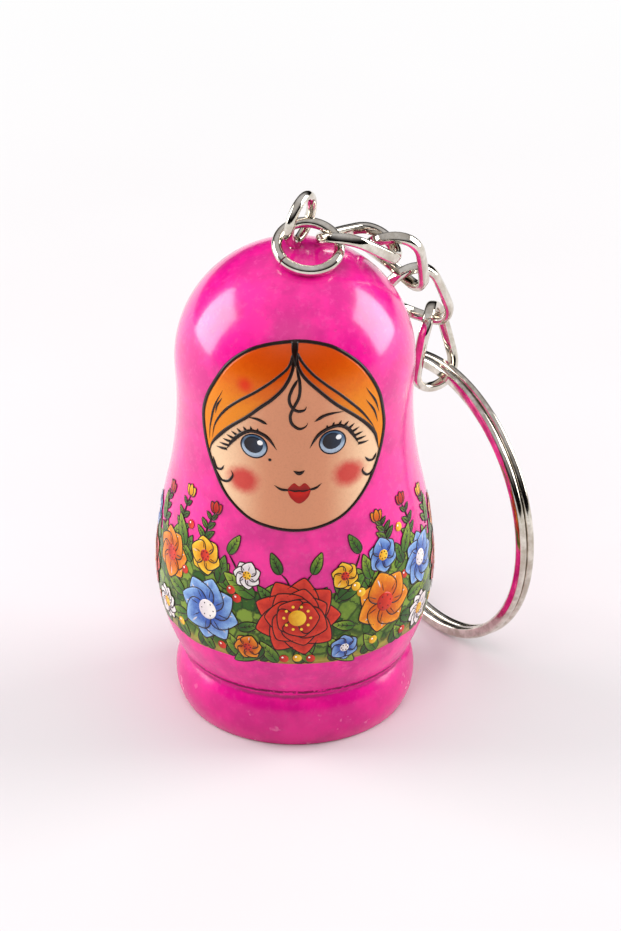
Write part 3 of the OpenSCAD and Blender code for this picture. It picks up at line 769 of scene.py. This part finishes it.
class Garland:
    def __init__(self):
        self.prints = {name: Print(onBelly) for name in inks}
        self.line = Print(onBelly)
        self.level = levels["ground"]

    def rise(self):  # each petal lies a little over the one before
        self.level += levels["petal"]
        return self.level

    def draw(self, points, pen, skin):
        width, taper, step = linePens[pen]
        self.line.stroke(points, width, skin, taper, step=step)

    def petal(self, colour, base, turn, long, wide, skin):
        k, ahead, grid = petalForm, heading(turn), []
        side, shares = leftOf(ahead), np.linspace(-1, 1, printing["across"])
        for t in np.linspace(0, 1, k["rows"]):
            half = wide / 2 * sin(pi * t ** k["tipAt"]) ** k["fullness"] if 0 < t < 1 else 0
            middle = ahead * long * t + base
            grid.append([middle + side * half * share for share in shares])
        self.prints[colour].patch(grid, skin, petalTone)
        rim = [row[0] for row in grid] + [row[-1] for row in grid[-2::-1]]
        self.draw(rim, "rim", skin + levels["line"])

    def gleam(self, at, turn, size):  # a pale brush mark near the petal's tip
        k = bloomForm
        points = [heading(turn) * size * share + at for share in k["gleamAt"]]
        self.prints["white"].stroke(points, k["gleamPen"] * size, self.level + levels["gleam"],
                                    k["gleamTaper"], step=k["gleamStep"])

    def bloom(self, at, size, petals, heart, count):
        k = bloomForm
        self.level = levels["bloom"]
        turns = [k["turn"] + at[0] + 2 * pi * n / count for n in range(count)]
        wide = k["wide"] * size * sin(pi / count)
        for turn in turns:
            self.petal(petals, at, turn, size, wide, self.rise())
            self.gleam(at, turn + k["gleamTurn"], size)
        skin = self.rise()
        for turn in turns:  # fine veins from the heart
            self.draw([heading(turn) * size * share + at for share in k["veins"]], "vein", skin)
        self.prints[heart].dot(at, size * k["heart"], self.rise(), k["heartSteps"], alongStroke)
        for spot in roundSpots(at, k["dotsAt"] * size, k["dots"]):
            self.line.dot(spot, k["dotR"], self.level + levels["dot"], k["dotSteps"])

    def rose(self, at, size, petals, heart):
        k = roseForm
        self.level = levels["rose"]
        for ring, (count, share, overlap) in enumerate(k["rings"]):
            wide = overlap * k["wide"] * size * share * sin(pi / count)
            for n in range(count):
                turn = 2 * pi * (n + ring / 2) / count
                self.petal(petals, at, turn, size * share, wide, self.rise())
        self.prints[heart].dot(at, size * k["heart"], self.rise(), k["heartSteps"], alongStroke)
        for spot in roundSpots(at, k["dotsAt"] * size, k["dots"]):
            self.prints["gold"].dot(spot, k["dotR"], self.rise(), k["dotSteps"], fullTone)

    def leaf(self, base, degrees, long, skin, colour):
        k, turn = leafForm, radians(degrees)
        self.petal(colour, base, turn, long, long * k["wide"], skin)
        ahead, base, over = heading(turn), np.array(base), skin + levels["line"]
        side = leftOf(ahead)
        self.draw([base, base + ahead * long * k["midrib"]], "midrib", over)
        for share in k["veinsAt"]:
            for way in (-1, 1):
                end = base + ahead * long * (share + k["veinAhead"]) + side * way * long * k["veinOut"]
                self.draw([base + ahead * long * share, end], "sideVein", over)

    def spray(self, line, bud):  # a sprig with paired leaves and a bud on top
        k = sprayForm
        self.draw(line, "stalk", levels["edge"] - levels["stalk"])
        points = evenly(curveThrough(line), k["points"])
        for n in k["pairsAt"]:
            for way in (-1, 1):
                skin = layer("edge", n, 3) + levels["pair"] * way
                long = k["leafLong"] - k["shorter"] * n
                self.leaf(points[n], 90 + way * k["lean"], long, skin, leafInk(way > 0))
        self.level = levels["bud"]
        base = points[-1] - (0, k["budDown"])
        for degrees in k["budTurns"]:
            self.petal(bud, base, radians(degrees), k["budLong"], k["budWide"], self.rise())

    def hem(self):  # a row of leaves along the lower edge
        k = hemForm
        count = int(2 * k["reach"] / k["step"])
        for n in range(count + 1):
            u = -k["reach"] + 2 * k["reach"] * n / count
            long = k["leaf"] * (1 + k["longer"] * (n % 3))
            lean = k["lean"] if n % 2 else -k["lean"]
            self.leaf((u, k["z"]), 90 + lean, long, layer("hem", n, 4), leafInk(n % 2))

    def bed(self):  # the leafy ground, and leaves fanned along its upper edge
        k, h, crown = edgeForm, hemForm, garland["ground"]
        foot = [(u, h["z"] - h["drop"] + h["wave"] * sin(h["waves"] * u)) for u, _ in crown]
        self.prints["foliage"].between(foot, crown, levels["ground"], *k["steps"], tones=acrossStroke)
        for n, p in enumerate(evenly(curveThrough(crown), k["count"])):
            lean = 90 - k["fan"] * p[0] + (k["lean"] if n % 2 else -k["lean"])
            base = p - (0, k["down"])
            self.leaf(base, lean, k["leaf"], layer("edge", n, 4), leafInk(n % 3))

    def berry(self, at, colour):
        k, skin = berryForm, levels["berry"]
        self.prints[colour].dot(at, k["r"], skin, k["steps"], alongStroke)
        shine = np.array(at) + k["shineAt"]
        self.prints["white"].dot(shine, k["shineR"], skin + levels["shine"], k["shineSteps"], fullTone)

    def build(self):
        self.hem()
        self.bed()
        for n, (base, degrees, long) in enumerate(garland["leaves"]):
            self.leaf(base, degrees, long, layer("leaf", n, 3), leafInk(n % 3))
        for stem in garland["stems"]:
            self.draw(stem, "stem", levels["leaf"])
        for sprig in garland["sprays"]:
            self.spray(*sprig)
        for flower in garland["blooms"]:
            self.bloom(*flower)
        for flower in garland["roses"]:
            self.rose(*flower)
        for berry in garland["berries"]:
            self.berry(*berry)


# metal: bright nickel, and swept wires placed from the joints

nickel = dict(
    pale="e6e0d6", haze=(0.9, 4, 0.65), hazeEdge=(0.35, 0.7), streak=(6.0, 3, 0.6),
    streakEdge=(0.6, 0.75), hazeRough=0.08, streakRough=0.12, streakHigh=0.4, bump=0.08, depth=0.00004)


def nickelFinish(name, shade, rough):
    f, k = Finish(name), nickel
    spot = f.place()
    haze, streak = f.noise(spot, *k["haze"]), f.noise(spot, *k["streak"])
    tone = f.mix(haze.step(*k["hazeEdge"]), rgb(shade), rgb(k["pale"]))
    roughness = rough + haze * k["hazeRough"] + streak.step(*k["streakEdge"]) * k["streakRough"]
    return f.set(Base_Color=tone, Metallic=1.0, Roughness=roughness,
                 Normal=f.bump(haze + streak * k["streakHigh"], k["bump"], k["depth"]))


def sweep(name, path, frames, section, finish, body, closed):
    n, m = len(path), len(section)
    verts = [(p + f[0] * a + f[1] * b) * mm for p, f in zip(path, frames) for a, b in section]
    faces = []
    for i in range(n if closed else n - 1):
        here, there = i * m, (i + 1) % n * m
        for j in range(m):
            k = (j + 1) % m
            faces.append((here + j, here + k, there + k, there + j))
    if not closed:
        faces += [tuple(reversed(range(m))), tuple(range((n - 1) * m, n * m))]
    mesh = newMesh(name, verts, faces)
    faceOutward(mesh)
    return addPiece(mesh, finish, body)


wire = dict(
    links=4, linkL=8.9, linkW=5.6, thick=0.8, wide=1.05, twist=48, bowSteps=28, sideSteps=12,
    sides=24, squash=0.72)
swings = [f"link_{index}_swing" for index in range(1, wire["links"] + 1)] + ["split_ring_swing"]


def linkOutline(bowR, side):  # a link laid flat: bow, side, bow, side
    flat = []
    for way in (1, -1):
        for t in np.linspace(-pi / 2, pi / 2, wire["bowSteps"], endpoint=False):
            flat.append((way * (side + bowR * cos(t)), way * bowR * sin(t)))
        for x in np.linspace(side, -side, wire["sideSteps"], endpoint=False):
            flat.append((way * x, way * bowR))
    return flat


def wireSection():  # flattened wire, between an oval and a box
    section = []
    for k in range(wire["sides"]):
        turn = 2 * pi * k / wire["sides"]
        a, b = (copysign(abs(c) ** wire["squash"], c) for c in (cos(turn), sin(turn)))
        section.append((wire["thick"] / 2 * a, wire["wide"] / 2 * b))
    return section


def linkPiece(index, finish):
    w = wire
    start, end = (Vector(joints[name]["pos_m"]) / mm for name in swings[index - 1:index + 1])
    along = (end - start).normalized()
    bow = Vector(joints[swings[index]]["axis"]).normalized()
    bow = (bow - along * bow.dot(along)).normalized()
    half = radians(w["twist"] / 2)
    across = bow * cos(half) - along.cross(bow) * sin(half)
    out = along.cross(across)
    bowR, side = (w["linkW"] - w["thick"]) / 2, (w["linkL"] - w["linkW"]) / 2
    reach = side + bowR
    centre = end - along * reach
    path, ups, frames = [], [], []
    for x, y in linkOutline(bowR, side):
        turn = half * x / reach
        path.append(centre + along * x + across * y * cos(turn) + out * y * sin(turn))
        ups.append(out * cos(turn) - across * sin(turn))
    for i, up in enumerate(ups):
        ahead = (path[(i + 1) % len(path)] - path[i - 1]).normalized()
        up = (up - ahead * up.dot(ahead)).normalized()
        frames.append((up.cross(ahead), up))
    made = sweep(f"twisted_link_{index}", path, frames, wireSection(), finish, f"link_{index}", True)
    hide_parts(f"chain_link_{index}")


strip = dict(
    outer=14.0, wide=1.1, thick=0.75, gap=0.08, edge=0.3, cornerSteps=6, crossing=34, crossAt=343,
    endGap=1.5, steps=420)


def stripSection():  # a flat strip with rounded edges
    s, section = strip, []
    for x, y, first in ((1, -1, -90), (1, 1, 0), (-1, 1, 90), (-1, -1, 180)):
        for k in range(s["cornerSteps"]):
            t = radians(first + 90 * k / (s["cornerSteps"] - 1))
            section.append((x * (s["wide"] / 2 - s["edge"]) + s["edge"] * cos(t),
                            y * (s["thick"] / 2 - s["edge"]) + s["edge"] * sin(t)))
    return section


def splitRing(finish):
    s = strip
    mount = next(m for m in frame["record"]["mounts"] if m["name"] == "key_ring")
    centre, normal = Vector(mount["pos_m"]) / mm, Vector(mount["axis"]).normalized()
    up = Vector((0, 0, 1))
    across = up.cross(normal).normalized()
    middle = s["outer"] - s["wide"] / 2
    offset = (s["thick"] + s["gap"]) / 2
    crossing = radians(s["crossing"])
    span = 2 * pi - crossing - s["endGap"] / s["outer"]
    path, frames = [], []
    for t in np.linspace(-span, crossing + span, s["steps"]):
        share = min(1, max(0, t / crossing))
        rise = offset * cos(pi * share)  # from one turn over to the other at the crossing
        turn = radians(s["crossAt"]) + t
        radial = across * cos(turn) + up * sin(turn)
        path.append(centre + radial * middle + normal * rise)
        frames.append((radial, -normal))
    made = sweep("two_turn_ring", path, frames, stripSection(), finish, "split_ring", False)
    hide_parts("split_ring")


# build the pieces

body = turnedBody(pinkLacquer())
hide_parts("wood_body")
print("body turned:", len(body.data.polygons), "faces")

faceInks = dict(  # name, dark tone, light tone and, where it is quieter, grain
    ink=("face_ink", "1c0a05", "321508", 0.1), eyeRim=("eye_rim", "1b1620", "2c2430", 0.1),
    iris=("eye_iris", "46607e", "b0c2d6"), pupil=("eye_pupil", "201716", "263246", 0.1),
    glint=("eye_glint", "ffffff", "f4f4fa"), lips=("lips", "d01808", "a80a04"),
    upperLip=("upper_lip", "84100c", "a81a14"))
facePrints = dict(skin=faceFilm(), hair=faceHair(), ink=faceInk(), **faceEyes(), **faceLips())
faceFinishes = dict(skin=skinFinish(), hair=hairFinish())
faceFinishes.update({name: inkFinish(*values) for name, values in faceInks.items()})
for name, drawing in facePrints.items():
    piece = addPiece(drawing.mesh("face_" + name), faceFinishes[name], "doll")
    if name == "skin":
        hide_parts("face_film")
print("face printed:", len(facePrints), "inks")

wreath = Garland()
wreath.build()
for name, drawing in wreath.prints.items():
    paint = foliageFinish if name == "foliage" else inkFinish
    piece = addPiece(drawing.mesh("garland_" + name), paint("garland_" + name, *inks[name]), "doll")
    if name == "green":
        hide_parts("garland_film")
lineInk = inkFinish("garland_line", "2a1410", "4a2418", 0.1)
piece = addPiece(wreath.line.mesh("garland_line"), lineInk, "doll")
print("garland printed:", len(garland["roses"]) + len(garland["blooms"]), "flowers")

wireNickel = nickelFinish("bright_nickel", "c9c0b2", 0.05)
ringNickel = nickelFinish("ring_nickel", "bdb4a6", 0.07)
for index in range(1, wire["links"] + 1):
    linkPiece(index, wireNickel)
splitRing(ringNickel)
for node in ("screw_eye", "jump_ring"):  # these keep the CAD's own shape
    dress(frame["nodes"][node].data, wireNickel)
print("metal bent:", wire["links"], "links and the split ring")


# studio: pale floor, soft boxes, camera at the photograph's angle; sizes in metres

studio = dict(
    floorSize=6.0, floor="d6d0d1", floorPale="e0dcdd", floorNoise=(0.02, 2, 0.55), floorRough=0.75,
    nearGlow=0.15, nearR=(10, 24), farGlow=0.96, farR=(25, 200),  # millimetres from the doll's axis
    boxes=[  # name, place, size, watts, seen in mirrors
        ("left_box", (-0.44, 0.10, 0.20), (0.30, 0.34), 2.2, True),
        ("right_box", (0.44, 0.10, 0.20), (0.30, 0.34), 2.2, True),
        ("front_box", (-0.05, -0.55, 0.62), (0.55, 0.40), 2.6, False),
        ("top_box", (0.0, 0.12, 0.75), (0.7, 0.7), 0.9, False)],
    aim=(0, 0, 0.02), skyLow="0a090a", skyHigh="d2d2d6", skyEdge=(0.25, 0.9))


def floorFinish():
    f, k = Finish("pale_floor"), studio
    spot = f.place()
    x, y, _ = f.axes(spot)
    f.set(Base_Color=f.mix(f.noise(spot, *k["floorNoise"]), rgb(k["floor"]), rgb(k["floorPale"])),
          Roughness=k["floorRough"])
    # painted light: the floor glows for camera, glossy and transmission rays, faintly near the doll and almost
    # white far off, which leaves a painted shade round its base
    away = (x * x + y * y) ** 0.5
    white = away.step(*k["nearR"]) * k["nearGlow"] + away.step(*k["farR"]) * (k["farGlow"] - k["nearGlow"])
    path = f.node("ShaderNodeLightPath", out="Is Camera Ray")
    seen = path + path.output("Is Glossy Ray") + path.output("Is Transmission Ray")
    glow = f.node("ShaderNodeEmission", {}, {"Color": rgb("ffffff"), "Strength": 1.0})
    f.show(f.node("ShaderNodeMixShader", {}, {0: seen.calc("MINIMUM", 1.0) * white, 1: f.plain, 2: glow}))
    return f


def layFloor():
    half = studio["floorSize"] / 2
    corners = [(-half, -half, 0), (half, -half, 0), (half, half, 0), (-half, half, 0)]
    floor = addToScene("floor", newMesh("floor", corners, [(0, 1, 2, 3)]))
    floor.data.materials.append(floorFinish().material)


def hangLights():
    aim = Vector(studio["aim"])
    for name, place, size, power, mirrored in studio["boxes"]:
        lamp = bpy.data.lights.new(name, "AREA")
        lamp.shape = "RECTANGLE"
        lamp.size, lamp.size_y = size
        lamp.energy = power
        made = addToScene(name, lamp)
        made.location = place
        made.rotation_euler = (aim - made.location).to_track_quat("-Z", "Y").to_euler()
        made.visible_glossy = mirrored
    world = bpy.data.worlds.new("studio")
    bpy.context.scene.world = world
    world.use_nodes = True
    sky = Nodes(world.node_tree)
    up = sky.axes(sky.node("ShaderNodeTexCoord", out="Generated"))[2]
    tone = sky.mix(up.step(*studio["skyEdge"]), rgb(studio["skyLow"]), rgb(studio["skyHigh"]))
    sky.feed(world.node_tree.nodes["Background"].inputs["Color"], tone)


view = dict(
    elevation=29.11, distance=345.3, targetZ=23.24, focalPixels=3852.4, middlePixel=295.0,
    framePixels=(621, 931), sensor=36.0, clip=(0.01, 20))


def setCamera():
    v, longSide = view, max(view["framePixels"])
    lens = bpy.data.cameras.new("camera")
    lens.sensor_width = v["sensor"]
    lens.lens = v["focalPixels"] / longSide * v["sensor"]
    lens.shift_x = (v["framePixels"][0] / 2 - v["middlePixel"]) / longSide
    lens.clip_start, lens.clip_end = v["clip"]
    camera = addToScene("camera", lens)
    tilt = radians(v["elevation"])
    back, rise = cos(tilt) * v["distance"], sin(tilt) * v["distance"]
    camera.location = Vector((0, -back, v["targetZ"] + rise)) * mm
    camera.rotation_euler = (pi / 2 - tilt, 0, 0)
    bpy.context.scene.camera = camera


layFloor()
hangLights()
setCamera()
bpy.context.scene.view_settings.view_transform = "Standard"
print("studio set:", len(studio["boxes"]), "lamps")
